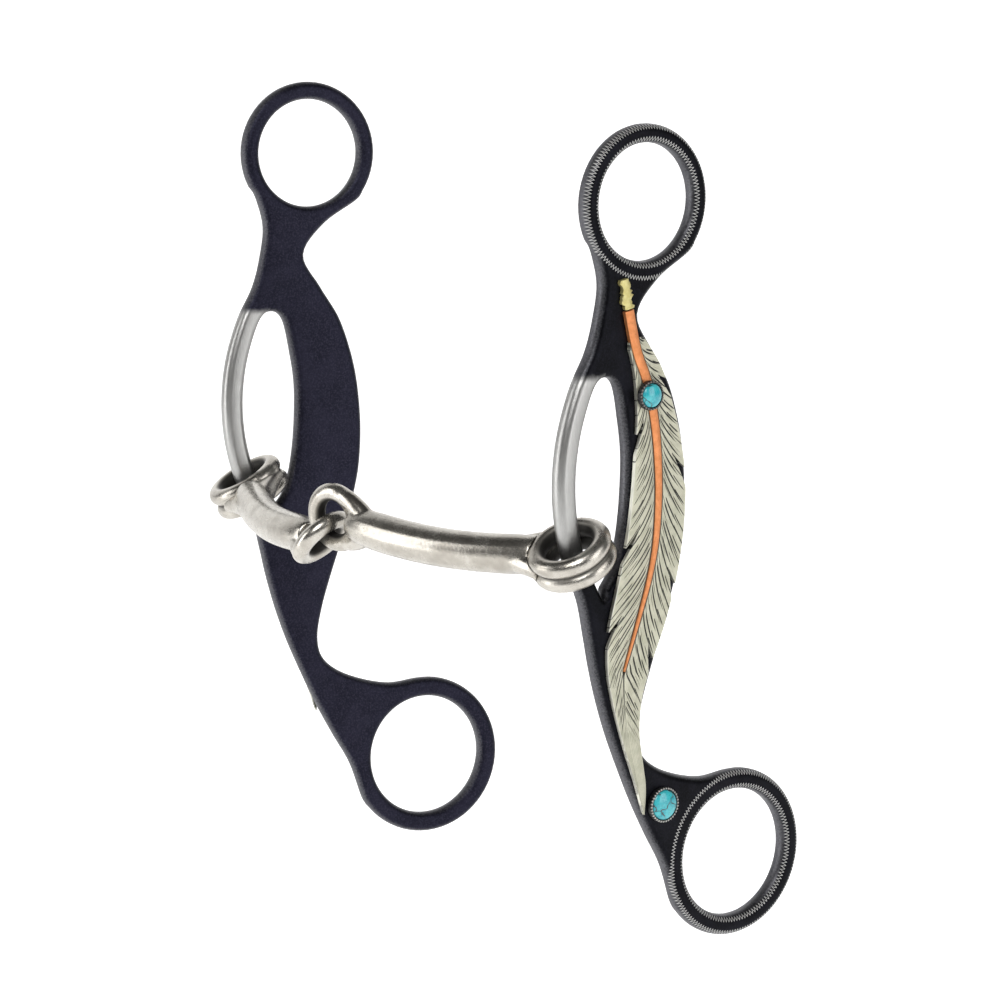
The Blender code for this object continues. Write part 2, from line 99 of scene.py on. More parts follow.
# Mouthpiece and far cheek, in mm
HALF_MOUTH = 66.0
CANNON, CANNON_BEND = 8.5, 4.0
WING_ANGLE, WING_ROOT, WING_TIP = 58.0, 3.1, 1.8      # weld that runs round the loop
WIRE_SIDES = 20
EYE_WIRE, EYE_MEAN, EYE_GAP = 3.9, 5.8, 0.4
LOOP_WIRE, LOOP_MEAN, LOOP_PITCH = 3.9, 7.25, 3.75
LOOP_TILT = 30.0
NEAR_STATION, FAR_STATION = 0.508, 0.533
NEAR_TO_JOINT = Vector((-0.9636, -0.266, -0.024)).normalized()
FAR_TO_JOINT = Vector((0.9474, -0.318, 0.032)).normalized()
LINK = Vector((-0.70, -0.05, -0.71)).normalized()
NEAR_EYE_FACE = Vector((-0.20, 0.97, 0.13)).normalized()
FAR_EYE_FACE = Vector((0.70, 0.24, -0.67)).normalized()
FAR_TOE, FAR_LEAN = -11.8, -3.3


def flat(point):
    """(Y, Z) in mm of an edge point given as (mm, share of the rise)."""
    return Vector((point[0], -point[1] * RISE))


def circle_through(first, second, third):
    along_a = second - first
    along_b = third - first
    half_a = along_a.length_squared / 2
    half_b = along_b.length_squared / 2
    cross = along_a.x * along_b.y - along_a.y * along_b.x
    offset = Vector((half_a * along_b.y - half_b * along_a.y,
                     half_b * along_a.x - half_a * along_b.x)) / cross
    return first + offset, offset.length


BAR_CENTRE, BAR_RADIUS = circle_through(*[flat(p) for p in BAR_POINTS])


def bar_edge(share, radius):
    height = -share * RISE - BAR_CENTRE.y
    return Vector((BAR_CENTRE.x - math.sqrt(radius ** 2 - height ** 2), -share * RISE))


def arc(centre, radius, start, end, count):
    return [centre + radius * Vector((math.cos(a), math.sin(a)))
            for a in (math.radians(start + (end - start) * i / count) for i in range(count + 1))]


def smooth_line(points, steps):
    """Catmull-Rom line through 2D points."""
    line = []
    for i in range(len(points) - 1):
        before = points[max(i - 1, 0)]
        start, end = points[i], points[i + 1]
        after = points[min(i + 2, len(points) - 1)]
        for k in range(steps):
            t = k / steps
            line.append(0.5 * (2 * start + (end - before) * t
                               + (2 * before - 5 * start + 4 * end - after) * t ** 2
                               + (3 * start - before - 3 * end + after) * t ** 3))
    line.append(points[-1])
    return line


def resample(line, count):
    """Evenly spaced points along a polyline."""
    lengths = [0.0]
    for a, b in zip(line, line[1:]):
        lengths.append(lengths[-1] + (b - a).length)
    points, k = [], 0
    for i in range(count + 1):
        goal = lengths[-1] * i / count
        while k < len(line) - 2 and lengths[k + 1] < goal:
            k += 1
        span = lengths[k + 1] - lengths[k]
        points.append(line[k].lerp(line[k + 1], (goal - lengths[k]) / span if span else 0.0))
    return points


def far_frame():
    """Turn and origin of the far cheek, and the mouthpiece's three centres, in mm."""
    turn = (Quaternion((0, 0, 1), math.radians(FAR_TOE))
            @ Quaternion((0, 1, 0), math.radians(FAR_LEAN)))
    near = bar_edge(NEAR_STATION, BAR_RADIUS)
    far = bar_edge(FAR_STATION, BAR_RADIUS)
    near_loop = Vector((0.0, near.x, near.y))
    joint = near_loop + NEAR_TO_JOINT * HALF_MOUTH
    far_loop = joint - FAR_TO_JOINT * HALF_MOUTH
    return turn, far_loop - turn @ Vector((0.0, far.x, far.y)), near_loop, joint, far_loop


def cheek_matrix(side):
    """From cheek coordinates (outward, Y, Z), in mm, to the world, in metres."""
    flip = Matrix.Diagonal((side, 1, 1, 1))
    scale = Matrix.Scale(MM, 4)
    if side > 0:
        return scale @ flip
    turn, origin, *_ = far_frame()
    return scale @ Matrix.Translation(origin) @ turn.to_matrix().to_4x4() @ flip


# Shading -----------------------------------------------------------------------------------

class Value:
    """A shader output that can be used in sums."""

    def __init__(self, finish, socket):
        self.finish = finish
        self.socket = socket

    def math(self, operation, *others, clamp=False):
        node = self.finish.tree.nodes.new("ShaderNodeMath")
        node.operation = operation
        node.use_clamp = clamp
        for slot, value in enumerate((self, *others)):
            self.finish.feed(node.inputs[slot], value)
        return Value(self.finish, node.outputs[0])

    def __add__(self, other):
        return self.math("ADD", other)

    def __sub__(self, other):
        return self.math("SUBTRACT", other)

    def __mul__(self, other):
        return self.math("MULTIPLY", other)

    def __truediv__(self, other):
        return self.math("DIVIDE", other)

    def __radd__(self, other):
        return self.math("ADD", other)

    def __rmul__(self, other):
        return self.math("MULTIPLY", other)

    def __rsub__(self, other):
        return (self * -1.0) + other

    def step(self, low, high):
        """Smoothly 0 at low and 1 at high."""
        return self.finish.node("ShaderNodeMapRange", {"interpolation_type": "SMOOTHSTEP"},
                                {"Value": self, "From Min": low, "From Max": high})

    def near(self, centre, width, soft):
        """1 within width of centre, falling to 0 over soft."""
        return 1.0 - (self - centre).math("ABSOLUTE").step(width, width + soft)


class Finish:
    """A material built from values."""

    def __init__(self, name):
        self.material = bpy.data.materials.new(name)
        self.material.use_nodes = True
        self.tree = self.material.node_tree
        self.shader = self.tree.nodes["Principled BSDF"]

    def feed(self, socket, value):
        if isinstance(value, Value):
            self.tree.links.new(value.socket, socket)
        elif isinstance(value, tuple) and len(value) == 3 and socket.type == "RGBA":
            socket.default_value = (*value, 1.0)
        else:
            socket.default_value = value

    def node(self, kind, settings=None, inputs=None, output=0):
        made = self.tree.nodes.new(kind)
        for name, value in (settings or {}).items():
            setattr(made, name, value)
        for name, value in (inputs or {}).items():
            self.feed(made.inputs[name], value)
        return Value(self, made.outputs[output])

    def attribute(self, name, output="Vector"):
        return self.node("ShaderNodeAttribute", {"attribute_name": name}, output=output)

    def place(self):
        return self.node("ShaderNodeTexCoord", output="Object")

    def split(self, vector):
        node = self.tree.nodes.new("ShaderNodeSeparateXYZ")
        self.feed(node.inputs[0], vector)
        return [Value(self, out) for out in node.outputs]

    def stretch(self, vector, scale):
        return self.node("ShaderNodeVectorMath", {"operation": "MULTIPLY"},
                         {0: vector, 1: scale})

    def noise(self, vector, scale, detail=4.0, roughness=0.55):
        return self.node("ShaderNodeTexNoise", None,
                         {"Vector": vector, "Scale": scale, "Detail": detail,
                          "Roughness": roughness})

    def cells(self, vector, scale):
        return self.node("ShaderNodeTexVoronoi", {"feature": "DISTANCE_TO_EDGE"},
                         {"Vector": vector, "Scale": scale}, "Distance")

    def mix(self, share, low, high):
        node = self.tree.nodes.new("ShaderNodeMix")
        node.data_type = "RGBA"
        self.feed(node.inputs["Factor"], share)
        sockets = [s for s in node.inputs if s.type == "RGBA"]
        self.feed(sockets[0], low)
        self.feed(sockets[1], high)
        return Value(self, [s for s in node.outputs if s.type == "RGBA"][0])

    def set(self, name, value):
        self.feed(self.shader.inputs[name], value)

    def bump(self, height, distance, strength=1.0):
        made = self.node("ShaderNodeBump", None, {"Height": height, "Distance": distance,
                                                  "Strength": strength})
        self.set("Normal", made)


def ring_marks(finish, y, z, centre, bands):
    """Wriggle-cut bands round a ring: fine zigzag lines at the given radii."""
    dy = y - centre.x
    dz = z - centre.y
    radius = (dy * dy + dz * dz).math("SQRT")
    angle = dz.math("ARCTAN2", dy)
    marks = 0.0
    for band in bands:
        turns = angle * (round(math.tau * band / 0.74) / math.tau)
        wave = (turns.math("FRACT") - 0.5).math("ABSOLUTE") * 2.0
        line = radius - (wave * 0.85) - (band - 0.42)
        marks = line.near(0.0, 0.06, 0.14) + marks
    return marks


def patina_finish():
    """Blue-black forged steel with mottling, lighter edges that are partly wear and partly painted
    highlight, bright bars and ring cuts.
    """
    finish = Finish("blued_steel_look")
    cheek = finish.attribute("cheek")
    out, y, z = finish.split(cheek)
    rim = finish.attribute("rim", "Fac")
    bright = finish.attribute("bare", "Fac")
    cloud = finish.noise(cheek, 0.16, 5.0, 0.65)
    grain = finish.noise(cheek, 2.3, 3.0, 0.7)
    fine = finish.noise(cheek, 9.0, 2.0, 0.6)
    mottle = cloud.step(0.38, 0.66)
    inner = 1.0 - out.step(-1.0, 1.0)
    base = finish.mix(mottle, (0.0025, 0.0027, 0.0038), (0.0060, 0.0062, 0.0090))
    base = finish.mix(inner, base, finish.mix(mottle, (0.010, 0.010, 0.019),
                                              (0.017, 0.0165, 0.030)))
    speckle = grain.step(0.42, 0.70) * (inner * 0.55 + 0.12)
    base = finish.mix(speckle, base, (0.034, 0.033, 0.052))
    # Lighter rounded edges: partly real wear, partly a painted highlight along the edges.
    wear_and_sheen = (rim * (grain * 0.9 + 0.35)).step(0.30, 0.95)
    base = finish.mix(wear_and_sheen * 0.85, base, (0.13, 0.13, 0.14))
    cuts = (ring_marks(finish, y, z, Vector((0, 0)),
                       (HEAD_BORE + 0.95, HEAD_BORE + HEAD_WALL - 0.55))
            + ring_marks(finish, y, z, REIN_CENTRE,
                         (REIN_BORE + 0.95, REIN_BORE + REIN_WALL - 0.75)))
    cuts = (cuts * out.step(0.3, 0.8)).math("MINIMUM", 1.0)
    streaks = finish.noise(finish.stretch(cheek, (3.0, 3.0, 0.25)), 2.0, 3.0)
    bare = (bright + (cloud - 0.5) * 0.35).step(0.35, 0.62)
    base = finish.mix(bare, base, finish.mix(streaks, (0.30, 0.30, 0.295), (0.46, 0.455, 0.44)))
    base = finish.mix(cuts * 0.85, base, (0.72, 0.72, 0.70))
    finish.set("Specular IOR Level", 0.22)
    finish.set("Base Color", base)
    finish.set("Metallic", (0.80 + bare * 0.15) * (1.0 - cuts * 0.55))
    rough = 0.30 + mottle * 0.08 + fine * 0.08 + inner * 0.12
    rough = rough * (1.0 - bare) + bare * (0.27 + streaks * 0.12)
    finish.set("Roughness", rough * (1.0 - cuts) + cuts * 0.34)
    finish.bump(grain * 0.5 + fine * 0.25 - cuts * 1.4 + cloud * 0.6, 0.00007)
    return finish.material


def polish_finish():
    """Warm polished steel with faint drawing lines and painted shade in the hollows."""
    finish = Finish("polished_steel_look")
    place = finish.place()
    flow = finish.attribute("flow")
    hollow_shade = finish.attribute("hollow_shade", "Fac")
    cloud = finish.noise(place, 160.0, 4.0, 0.6)
    brushed = finish.noise(finish.stretch(flow, (6.0, 1.1, 1.0)), 2.0, 4.0, 0.7)
    pits = finish.noise(place, 1700.0, 2.0, 0.5)
    base = finish.mix(cloud.step(0.3, 0.7), (0.36, 0.335, 0.295), (0.54, 0.515, 0.465))
    base = finish.mix(brushed.step(0.55, 0.8) * 0.4, base, (0.24, 0.22, 0.19))
    # Near-black painted shade inside the eyes, inside the loops and between their turns.
    base = finish.mix(hollow_shade, base, (0.012, 0.011, 0.010))
    finish.set("Base Color", base)
    finish.set("Metallic", 0.94 - hollow_shade * 0.3)
    finish.set("Roughness", 0.17 + cloud * 0.12 + brushed * 0.08 + hollow_shade * 0.35)
    finish.bump(brushed * 0.35 + pits * 0.12 + cloud * 0.9, 0.00008)
    return finish.material


def strokes(finish, row, across, pitch, centre, reach, taper, width):
    """Tapering cut lines, one to a row pitch, each with its own length and place."""
    lines = row * pitch
    cell = lines.math("FLOOR")
    chance = finish.node("ShaderNodeTexWhiteNoise", {"noise_dimensions": "1D"},
                         {"W": cell * 1.37 + centre * 9.1})
    other = finish.node("ShaderNodeTexWhiteNoise", {"noise_dimensions": "1D"},
                        {"W": cell * 2.71 + centre * 3.7})
    start, end = reach
    first = chance * 0.14 + start
    last = other * 0.30 + (end - 0.30)
    span = (across - first) / (last - first)
    inside = span.step(0.0, 0.06) * (1.0 - span.step(taper, 1.0))
    place = (chance - 0.5) * 0.42 + (other - 0.5) * across * 0.25 + centre
    gap = (lines.math("FRACT") - place).math("ABSOLUTE")
    return (1.0 - (gap / (inside * width + 0.0001)).step(0.55, 1.1)) * inside.step(0.02, 0.12)


def shade(colour, shares):
    """A colour with each channel cut to its share."""
    return tuple(channel * share for channel, share in zip(colour, shares))


def feather_finish(silver):
    """Pale nickel-silver sheet with dark engraved barbs and a painted highlight along the vanes'
    outer edges.
    """
    finish = Finish("nickel_silver_look")
    cheek = finish.attribute("cheek")
    row, across, tip = finish.split(finish.attribute("flow"))
    edge = finish.attribute("rim", "Fac")
    cloud = finish.noise(cheek, 0.35, 4.0, 0.6)
    grain = finish.noise(finish.stretch(cheek, (1.0, 1.0, 0.35)), 7.0, 3.0, 0.7)
    vane = 1.0 - tip
    cuts = strokes(finish, row, across, 0.46, 0.50, (0.02, 1.05), 0.40, 0.15)
    cuts = cuts.math("MAXIMUM", strokes(finish, row, across, 0.46, 0.12, (0.42, 1.15), 0.7, 0.10))
    cuts = cuts.math("MAXIMUM", strokes(finish, row, across, 0.55, 0.88, (-0.05, 0.55), 0.2, 0.10))
    fine = strokes(finish, row, across, 1.9, 0.5, (0.0, 1.2), 0.6, 0.16)
    cuts = (cuts + fine * 0.16).math("MINIMUM", 1.0) * vane
    long_lines = (across * 7.0 + cloud).math("FRACT").near(0.5, 0.03, 0.07) * tip * 0.55
    outline = (1.0 - across.step(0.015, 0.05)) * vane * 0.9
    engraved = cuts.math("MAXIMUM", outline).math("MAXIMUM", long_lines)
    base = finish.mix(cloud.step(0.3, 0.7), shade(silver, (0.782, 0.787, 0.756)),
                      tuple(silver))
    base = finish.mix(grain.step(0.55, 0.8) * 0.30, base, (0.31, 0.31, 0.24))
    # Lighter, glossier outer edge of each vane: painted highlight.
    base = finish.mix(edge, base, (0.66, 0.655, 0.58))
    base = finish.mix(engraved, base, (0.010, 0.011, 0.009))
    finish.set("Base Color", base)
    finish.set("Metallic", (edge * 0.3 + 0.55) * (1.0 - engraved))
    finish.set("Roughness", 0.36 + cloud * 0.10 + grain * 0.06 - edge * 0.14 + engraved * 0.3)
    finish.bump(grain * 0.4 - engraved * 2.0, 0.00006)
    return finish.material


def warm_finish(name, colour, low, dark):
    """Copper or brass strip with a brushed, slightly tarnished face."""
    finish = Finish(name)
    cheek = finish.attribute("cheek")
    cloud = finish.noise(cheek, 0.8, 4.0, 0.6)
    brushed = finish.noise(finish.stretch(cheek, (1.0, 3.5, 0.4)), 4.0, 3.0, 0.7)
    spots = finish.noise(cheek, 3.4, 2.0, 0.5)
    base = finish.mix(cloud.step(0.3, 0.7), shade(colour, low), tuple(colour))
    base = finish.mix(spots.step(0.62, 0.75) * 0.55, base, shade(colour, dark))
    finish.set("Base Color", base)
    finish.set("Metallic", 0.7)
    finish.set("Roughness", 0.30 + brushed * 0.16)
    finish.bump(brushed * 0.7 + spots * 0.5, 0.00006)
    return finish.material


def bezel_finish():
    finish = Finish("bezel_silver_look")
    cheek = finish.attribute("cheek")
    rim = finish.attribute("rim", "Fac")
    cloud = finish.noise(cheek, 1.5, 4.0, 0.6)
    base = finish.mix(cloud.step(0.35, 0.65), (0.018, 0.018, 0.020), (0.05, 0.05, 0.05))
    # Lighter top rim: a painted highlight, brighter on each tooth and on the lower bezel.
    base = finish.mix(rim, base, (0.48, 0.47, 0.44))
    finish.set("Base Color", base)
    finish.set("Metallic", 0.85)
    finish.set("Roughness", 0.34 + cloud * 0.14)
    finish.bump(cloud, 0.00005)
    return finish.material


def turquoise_finish(stone):
    """Blue stone with cloudy patches and a web of thin dark veins."""
    finish = Finish("turquoise_look")
    cheek = finish.attribute("cheek")
    drift = finish.noise(cheek, 0.5, 3.0, 0.6)
    bent = finish.node("ShaderNodeVectorMath", {"operation": "MULTIPLY_ADD"},
                       {0: finish.node("ShaderNodeTexNoise", None,
                                       {"Vector": cheek, "Scale": 0.55, "Detail": 3.0},
                                       "Color"),
                        1: (2.4, 2.4, 2.4), 2: cheek})
    web = finish.cells(bent, 0.24)
    thin = finish.cells(bent, 0.55)
    vein = 1.0 - web.step(0.010, 0.035)
    hair = (1.0 - thin.step(0.004, 0.02)) * drift.step(0.45, 0.6)
    base = finish.mix(drift.step(0.35, 0.65), shade(stone, (0.40, 0.698, 0.766)),
                      tuple(stone))
    base = finish.mix(finish.noise(cheek, 2.5, 3.0).step(0.5, 0.75) * 0.35, base,
                      (0.14, 0.56, 0.58))
    base = finish.mix((vein + hair * 0.6).math("MINIMUM", 1.0), base, (0.012, 0.045, 0.05))
    finish.set("Base Color", base)
    finish.set("Roughness", 0.22 + vein * 0.25)
    finish.set("Coat Weight", 0.35)
    finish.bump(drift * 0.3 - vein, 0.00004)
    return finish.material


# Meshes ------------------------------------------------------------------------------------

def finish_mesh(name, shape, material, body, nodes, angle=50.0):
    """Store a mesh as a visible piece that rides on a frame body and stands for its nodes."""
    mesh = bpy.data.meshes.new(name)
    shape.to_mesh(mesh)
    shape.free()
    mesh.materials.append(material)
    mesh.shade_smooth()
    mesh.set_sharp_from_angle(angle=math.radians(angle))
    made = bpy.data.objects.new(name, mesh)
    bpy.context.scene.collection.objects.link(made)
    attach(made, body)
    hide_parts(*nodes)
    return made


def add_layers(shape):
    layers = {name: shape.verts.layers.float.new(name) for name in ("rim", "bare", "hollow_shade")}
    layers["cheek"] = shape.verts.layers.float_vector.new("cheek")
    layers["flow"] = shape.verts.layers.float_vector.new("flow")
    return layers


def place_on_cheek(shape, layers, side):
    """Note each vertex's place on the cheek, in mm, then move the shape to that cheek."""
    for vert in shape.verts:
        vert[layers["cheek"]] = vert.co
    shape.transform(cheek_matrix(side))
    shape.normal_update()
    bmesh.ops.recalc_face_normals(shape, faces=shape.faces)


def chain(shape, verts):
    """New edges from each vertex to the next."""
    return [shape.edges.new(pair) for pair in zip(verts, verts[1:])]


def grow(shape, edges):
    """Extrude edges in place, and give the new vertices and edges."""
    grown = bmesh.ops.extrude_edge_only(shape, edges=edges)["geom"]
    return ([g for g in grown if isinstance(g, bmesh.types.BMVert)],
            [g for g in grown if isinstance(g, bmesh.types.BMEdge)])


def sheet(shape, rows, columns):
    """Grid of new faces, given as (vertex, row, column)."""
    made = bmesh.ops.create_grid(shape, x_segments=rows, y_segments=columns, size=0.5)
    return [(vert, i % (rows + 1), i // (rows + 1)) for i, vert in enumerate(made["verts"])]


def edge_normals(points):
    normals = []
    for i in range(len(points)):
        along = (points[(i + 1) % len(points)] - points[i - 1]).normalized()
        normals.append(Vector((-along.y, along.x)))
    return normals


def outline_area(points):
    return sum(points[i - 1].x * p.y - p.x * points[i - 1].y for i, p in enumerate(points)) / 2


def cheek_outline(steps):
    head = arc(Vector((0, 0)), HEAD_BORE + HEAD_WALL, -45, 217, 24 * steps)
    rein = arc(REIN_CENTRE, REIN_BORE + REIN_WALL, -151, 95, 24 * steps)
    bar = [bar_edge(BAR_POINTS[0][1] + (BAR_POINTS[2][1] - BAR_POINTS[0][1]) * i / 5,
                    BAR_RADIUS + BAR / 2) for i in range(6)]
    front = [flat(p) for p in FRONT_NECK] + bar + [flat(p) for p in FRONT_FOOT]
    rear = [flat(p) for p in reversed(REAR_EDGE)]
    k = 3 * steps
    down = smooth_line([head[-1 - steps], head[-1]] + front + [rein[0], rein[steps]], k)
    up = smooth_line([rein[-1 - steps], rein[-1]] + rear + [head[0], head[steps]], k)
    return head[steps:-steps - 1] + down[:-1] + rein[steps:-steps - 1] + up[:-1]


def slot_outline(steps):
    front = [bar_edge(BAR_POINTS[0][1] + (BAR_POINTS[2][1] - BAR_POINTS[0][1]) * i / 6,
                      BAR_RADIUS - BAR / 2) for i in range(7)]
    knots = front + [flat(p) for p in reversed(SLOT_REAR)]
    count = len(knots)
    line = []
    for i in range(count):
        ends = [knots[(i + k) % count] for k in (-1, 0, 1, 2)]
        line += smooth_line(ends, 3 * steps)[3 * steps:6 * steps]
    return line


def bare_share(y, z):
    """1 on the polished round bar, 0 on the blued plate."""
    share = -z / RISE
    if y > -6.0 or share < 0.18 or share > 0.62:
        return 0.0
    place = Vector((y, z)) - BAR_CENTRE
    if abs(place.length - BAR_RADIUS) > BAR / 2 + 0.8:
        return 0.0
    top = min(max((share - 0.222) / 0.055, 0.0), 1.0)
    foot = min(max((0.552 - share) / 0.015, 0.0), 1.0)
    return min(top, foot)


def edge_profile():
    """(inset, height) round the plate's edge, from one face to the other."""
    turns = [math.pi / 2 * k / EDGE_STEPS for k in range(EDGE_STEPS + 1)]
    upper = [(EDGE_ROUND * (1 - math.cos(a)), PLATE / 2 - EDGE_DEPTH * (1 - math.sin(a)))
             for a in turns]
    return [(inset, -height) for inset, height in reversed(upper)] + upper


def round_wall(shape, layers, order, points):
    """Rounded wall along a closed line, extruded from step to step; gives both rims."""
    normals = edge_normals(points)
    verts = [shape.verts.new() for _ in points]
    for i, vert in enumerate(verts):
        vert[order] = i
    edges = chain(shape, verts + verts[:1])
    first = edges
    for step, (inset, height) in enumerate(edge_profile()):
        if step:
            verts, edges = grow(shape, edges)
        for vert in verts:
            place = points[vert[order]] + normals[vert[order]] * inset
            vert.co = (height, place.x, place.y)
            # Nearness to the edge; the steel look lightens it as wear and painted highlight.
            vert[layers["rim"]] = max(0.0, 1.0 - inset / EDGE_ROUND * 1.1)
            vert[layers["bare"]] = bare_share(place.x, place.y)
    return first, edges


def make_cheek(side, material, detail):
    """The forged plate: rings, slot and round bar, with softly rounded edges."""
    prefix = "near" if side > 0 else "far"
    shape = bmesh.new()
    layers = add_layers(shape)
    order = shape.verts.layers.int.new("order")
    holes = [arc(Vector((0, 0)), HEAD_BORE, 0, 356, 89), arc(REIN_CENTRE, REIN_BORE, 0, 356, 89),
             slot_outline(detail)]
    rims = []
    for index, points in enumerate([cheek_outline(detail)] + holes):
        if (outline_area(points) > 0) != (index == 0):
            points = list(reversed(points))
        rims.append(round_wall(shape, layers, order, points))
    for edges in zip(*rims):
        bmesh.ops.triangle_fill(shape, use_beauty=True, normal=(1.0, 0.0, 0.0),
                                edges=[edge for rim in edges for edge in rim])
    shape.verts.layers.int.remove(shape.verts.layers.int["order"])
    layers = {"cheek": shape.verts.layers.float_vector["cheek"]}
    place_on_cheek(shape, layers, side)
    finish_mesh(prefix + "_cheek_look", shape, material, prefix + "_cheek",
                [prefix + "_shank"])


def wire_section(shape, place, along, radius):
    """Round section of a wire across its direction; gives its edges."""
    side = along.orthogonal().normalized()
    turn = Matrix((side, along.cross(side), along)).transposed().to_4x4()
    verts = bmesh.ops.create_circle(shape, segments=WIRE_SIDES, radius=radius,
                                    matrix=Matrix.Translation(place) @ turn)["verts"]
    return verts, list(dict.fromkeys(edge for vert in verts for edge in vert.link_edges))


def sweep(shape, path, radii):
    """Round bar along a line: its section is extruded from point to point."""
    last = len(path) - 1
    along = [(path[min(i + 1, last)] - path[max(i - 1, 0)]).normalized()
             for i in range(last + 1)]
    _, edges = wire_section(shape, path[0], along[0], radii[0])
    bmesh.ops.edgeloop_fill(shape, edges=edges)
    for i in range(1, last + 1):
        verts, edges = grow(shape, edges)
        turn = along[i - 1].rotation_difference(along[i]).to_matrix().to_4x4()
        bmesh.ops.transform(shape, verts=verts, matrix=(
            Matrix.Translation(path[i]) @ turn @ Matrix.Scale(radii[i] / radii[i - 1], 4)
            @ Matrix.Translation(-path[i - 1])))
    bmesh.ops.edgeloop_fill(shape, edges=edges)


def loop_axis(along):
    upright = (Vector((0, 0, 1)) - along * along.z).normalized()
    forward = upright.cross(along)
    if forward.y > 0:
        forward = -forward
    angle = math.radians(LOOP_TILT)
    return upright * math.cos(angle) + forward * math.sin(angle)


def wire_ring(shape, centre, axis, radius, wire, steps, lead):
    """Closed ring of round wire about an axis: its section is spun once round."""
    side = (lead - axis * lead.dot(axis)).normalized()
    verts, edges = wire_section(shape, centre + side * radius, axis.cross(side), wire / 2)
    bmesh.ops.spin(shape, geom=verts + edges, cent=centre, axis=axis, angle=math.tau,
                   steps=steps, use_merge=True)


def fused(name, shape, voxel, passes):
    """One skin over overlapping bars, with the joins run together like a weld."""
    shape.normal_update()
    bmesh.ops.recalc_face_normals(shape, faces=shape.faces)
    bmesh.ops.scale(shape, verts=shape.verts, vec=(MM, MM, MM))
    mesh = bpy.data.meshes.new(name + "_rough")
    shape.to_mesh(mesh)
    shape.free()
    rough = bpy.data.objects.new(name + "_rough", mesh)
    bpy.context.scene.collection.objects.link(rough)
    remesh = rough.modifiers.new("skin", "REMESH")
    remesh.mode = "VOXEL"
    remesh.voxel_size = voxel * MM
    bpy.context.view_layer.update()
    made = bpy.data.meshes.new_from_object(
        rough.evaluated_get(bpy.context.evaluated_depsgraph_get()))
    bpy.data.objects.remove(rough, do_unlink=True)
    shape = bmesh.new()
    shape.from_mesh(made)
    for _ in range(passes):
        bmesh.ops.smooth_vert(shape, verts=shape.verts, factor=0.5, use_axis_x=True,
                              use_axis_y=True, use_axis_z=True)
    return shape


def half_path(centre, eye, axis, bend):
    """Points along a mouthpiece half, bowed to the front, as (place, share of its length)."""
    along = (eye - centre).normalized()
    forward = along.cross(axis)
    if forward.y > 0:
        forward = -forward
    length = (eye - centre).length
    start, end = LOOP_MEAN + 0.6, length - EYE_MEAN + 0.4
    path = []
    for i in range(41):
        t = i / 40
        reach = start + (end - start) * t
        path.append((centre + along * reach
                     + forward * bend * math.sin(math.pi * reach / length), t))
    return path


def fit_round_loop(shape, centre, axis):
    """Hollow the end of a half so that it lies close round both turns of its loop."""
    room = (LOOP_WIRE / 2 + 0.10) * MM
    for vert in shape.verts:
        offset = vert.co - centre
        rise = offset.dot(axis)
        flat_offset = offset - axis * rise
        level = abs(rise) - LOOP_PITCH / 2 * MM
        if abs(level) < room:
            reach = LOOP_MEAN * MM + math.sqrt(room ** 2 - level ** 2)
            if flat_offset.length < reach:
                vert.co = centre + axis * rise + flat_offset.normalized() * reach


def make_half(prefix, centre, eye, axis, face, body, material, voxel):
    """Mouthpiece half: swollen cannon that runs out into its eye's wire."""
    shape = bmesh.new()
    path = half_path(centre, eye, axis, CANNON_BEND)
    line = [place for place, _ in path]
    sweep(shape, line, [CANNON / 2 * (1.0 + 0.13 * (2 * t - 1) ** 4 - 0.42 * t ** 14
                                      - 0.20 * (1 - t) ** 16) for _, t in path])
    reach = (eye - centre).normalized()
    across = axis.cross(reach).normalized()
    reach = across.cross(axis)
    shares = [i / 8 for i in range(9)]
    for turn in (-1, 1):
        angle = math.radians(WING_ANGLE * turn)
        tip = centre + (reach * math.cos(angle) + across * math.sin(angle)) * (LOOP_MEAN + 0.6)
        root = line[5] + across * turn * 1.2
        middle = root.lerp(tip, 0.5) - across * turn * 0.9
        sweep(shape, [root.lerp(middle, t).lerp(middle.lerp(tip, t), t) for t in shares],
              [WING_ROOT + (WING_TIP - WING_ROOT) * t for t in shares])
    lead = centre - eye
    wire_ring(shape, eye, face, EYE_MEAN, EYE_WIRE, 56, lead)
    side = (lead - face * lead.dot(face)).normalized()
    other = face.cross(side)
    for turn in (-0.95, 0.95):
        first = eye + (side * math.cos(turn * 1.15) + other * math.sin(turn * 1.15)) * EYE_MEAN
        bulge = other * math.sin(turn) * 1.3
        sweep(shape, [first.lerp(line[34], t) + bulge * math.sin(math.pi * t) * (1 - t)
                      for t in shares], [EYE_WIRE / 2 * (1 + 0.25 * t) for t in shares])
    shape = fused(prefix + "_half", shape, voxel, 6)
    fit_round_loop(shape, centre * MM, axis)
    layers = add_layers(shape)
    start, end = centre * MM, eye * MM
    along = (end - start).normalized()
    inner = (EYE_MEAN - 0.65) * MM
    for vert in shape.verts:
        reach = (vert.co - start).dot(along)
        out = vert.co - start - along * reach
        vert[layers["flow"]] = (math.atan2(out.dot(axis), out.dot(along.cross(axis))),
                                reach * 1000 * 0.25, 0.0)
        # Painted shade inside the eye ring.
        depth = (inner - (vert.co - end).length) / (0.8 * MM)
        vert[layers["hollow_shade"]] = max(0.0, min(0.95, depth))
    finish_mesh(prefix + "_half_look", shape, material, body, [prefix + "_cannon"],
                60.0)


